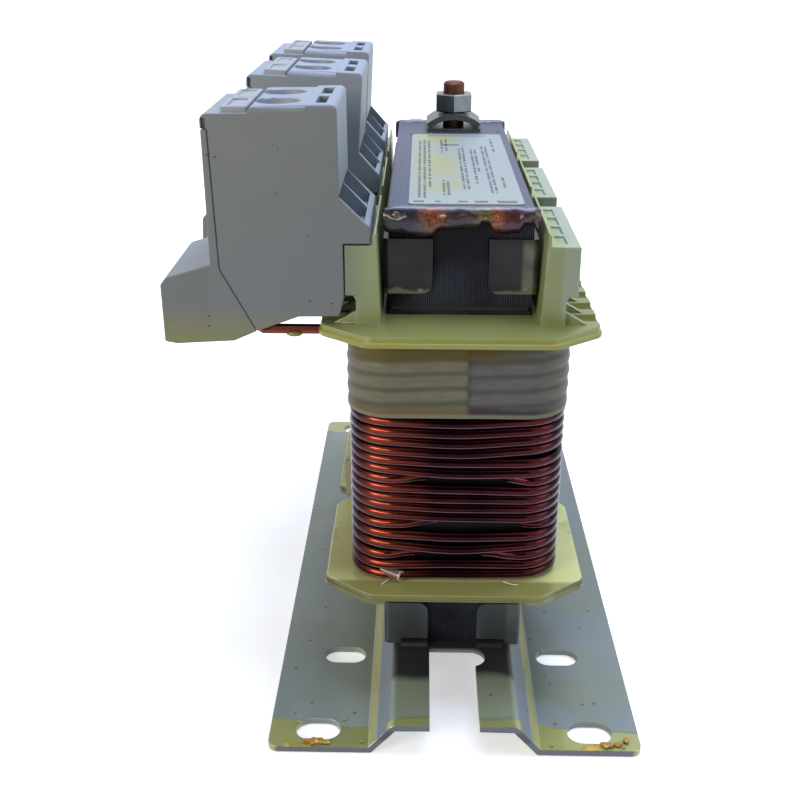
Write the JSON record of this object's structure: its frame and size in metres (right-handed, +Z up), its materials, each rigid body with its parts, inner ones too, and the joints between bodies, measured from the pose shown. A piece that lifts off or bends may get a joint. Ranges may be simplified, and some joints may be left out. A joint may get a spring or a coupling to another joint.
{
  "type": "line reactor",
  "caption": "Iron-core line reactor: coils on a laminated core with gaps, welded to a folded slotted base plate, with clip-on screw terminals on one side and an earth stud.",
  "frame": {"origin": "centre of the four outer mounting slots, on the underside of the base plate", "axes": "+Z up through the base plate, +Y along the row of coils towards the end with the earth stud, -X towards the side with the terminal blocks"},
  "size_m": [0.1039, 0.177, 0.1375],
  "materials": {
    "plated_steel": "satin, varnished",
    "lamination_steel": "sheet edges under varnish",
    "strap_steel": "satin, varnished",
    "weld_metal": "scaled",
    "bobbin_plastic": "translucent, glossy varnish",
    "enamelled_wire": "glossy enamel",
    "fleece_tape": "varnished fleece",
    "gap_board": "matt",
    "terminal_plastic": "matt",
    "marker_plastic": "matt",
    "clamp_steel": "zinc plated",
    "contact_brass": "tinned",
    "sleeve_plastic": "clear",
    "stud_copper": "coppered",
    "zinc_steel": "zinc plated",
    "label_film": "satin film"
  },
  "bodies": {
    "root": {"base_plate": "plated_steel", "bobbin_front": "bobbin_plastic", "bobbin_middle": "bobbin_plastic", "bobbin_rear": "bobbin_plastic", "bracket_lower_left": "strap_steel", "bracket_lower_right": "strap_steel", "bracket_upper_left": "strap_steel", "bracket_upper_right": "strap_steel", "clamp_cages": "clamp_steel", "coil_end_sleeve": "sleeve_plastic", "contact_bars": "contact_brass", "core_legs": "lamination_steel", "core_top_yoke": "lamination_steel", "earth_nut": "zinc_steel", "earth_stud": "stud_copper", "finish_leads": "enamelled_wire", "foot_welds": "weld_metal", "gap_spacer_front": "gap_board", "gap_spacer_middle": "gap_board", "gap_spacer_rear": "gap_board", "insulation_strip": "gap_board", "marker_tabs": "marker_plastic", "nameplate": "label_film", "saddle_clamp": "zinc_steel", "square_washer": "zinc_steel", "start_leads": "enamelled_wire", "tape_band_front": "fleece_tape", "tape_band_middle": "fleece_tape", "tape_band_rear": "fleece_tape", "terminal_body_front": "terminal_plastic", "terminal_body_middle": "terminal_plastic", "terminal_body_rear": "terminal_plastic", "terminal_cover_front": "terminal_plastic", "terminal_cover_middle": "terminal_plastic", "terminal_cover_rear": "terminal_plastic", "terminal_screws": "clamp_steel", "weld_front": "weld_metal", "weld_rear": "weld_metal", "winding_front": "enamelled_wire", "winding_middle": "enamelled_wire", "winding_rear": "enamelled_wire"}
  },
  "joints": []
}
